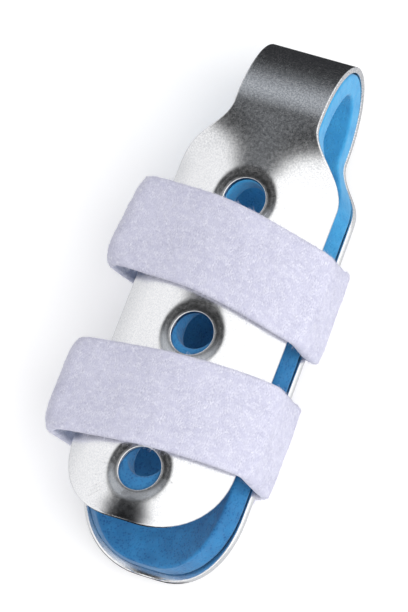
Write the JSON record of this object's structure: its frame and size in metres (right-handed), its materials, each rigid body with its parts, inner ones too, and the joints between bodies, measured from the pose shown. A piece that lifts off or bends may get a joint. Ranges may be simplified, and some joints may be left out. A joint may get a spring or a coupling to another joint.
{
  "type": "finger splint",
  "caption": "Fold-over finger splint: one aluminium sheet folded over the fingertip into two gutter lobes, foam lined, closed by two loop-fabric straps.",
  "frame": {"origin": "middle of the splint's footprint, on the surface that it lies on", "axes": "+Y towards the fingertip, +Z out of the dorsal lobe, +X to the right seen from above with the fingertip up"},
  "size_m": [0.036, 0.0888, 0.0288],
  "materials": {
    "aluminium": "satin, finely grained",
    "foam": "closed-cell foam, matte blue",
    "strap_fabric": "brushed loop fabric, matte off-white",
    "hook_tape": "woven hook tape, off-white"
  },
  "bodies": {
    "root": {"aluminium_plate": "aluminium", "foam_lining": "foam", "distal_strap": "strap_fabric", "proximal_strap": "strap_fabric", "distal_hook_tab": "hook_tape", "proximal_hook_tab": "hook_tape"}
  },
  "joints": []
}
